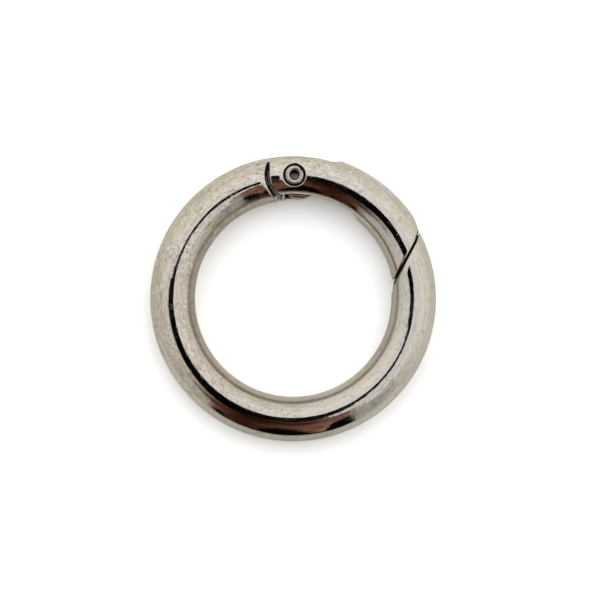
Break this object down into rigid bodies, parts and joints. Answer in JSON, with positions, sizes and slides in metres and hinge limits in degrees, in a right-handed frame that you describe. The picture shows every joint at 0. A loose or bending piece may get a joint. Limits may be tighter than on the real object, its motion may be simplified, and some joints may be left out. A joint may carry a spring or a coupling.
{
  "type": "spring ring",
  "caption": "Round spring-gate ring: a cast metal ring with a riveted, sprung gate that swings into the eye so that straps, cords or other rings can be slipped on.",
  "frame": {"origin": "middle of the eye at half the ring's thickness", "axes": "+Z is the eye's axis and up as the ring lies flat, +Y runs to the hinge rivet, the gate lies on the +X side"},
  "size_m": [0.0364, 0.0364, 0.0056],
  "materials": {
    "nickel_plate": "nickel-plated zinc casting, tumbled bright, with fine scratches and specks",
    "nickel_plate_gate": "nickel-plated zinc casting, tumbled bright, more worn than the ring",
    "rivet_steel": "nickel-plated steel, rolled over at the end",
    "spring_steel": "drawn spring wire"
  },
  "bodies": {
    "ring": {"ring_body": "nickel_plate", "gate_spring": "spring_steel"},
    "gate": {"gate": "nickel_plate_gate", "hinge_rivet": "rivet_steel"}
  },
  "joints": [
    {"name": "gate_hinge", "type": "hinge", "parent": "ring", "child": "gate", "pos_m": [0, 0.0157, 0], "axis": [0, 0, -1], "range_deg": [0, 50], "stiffness_Nm_per_rad": 0.03, "springref_deg": -57.3, "deforming": ["gate_spring"]}
  ]
}
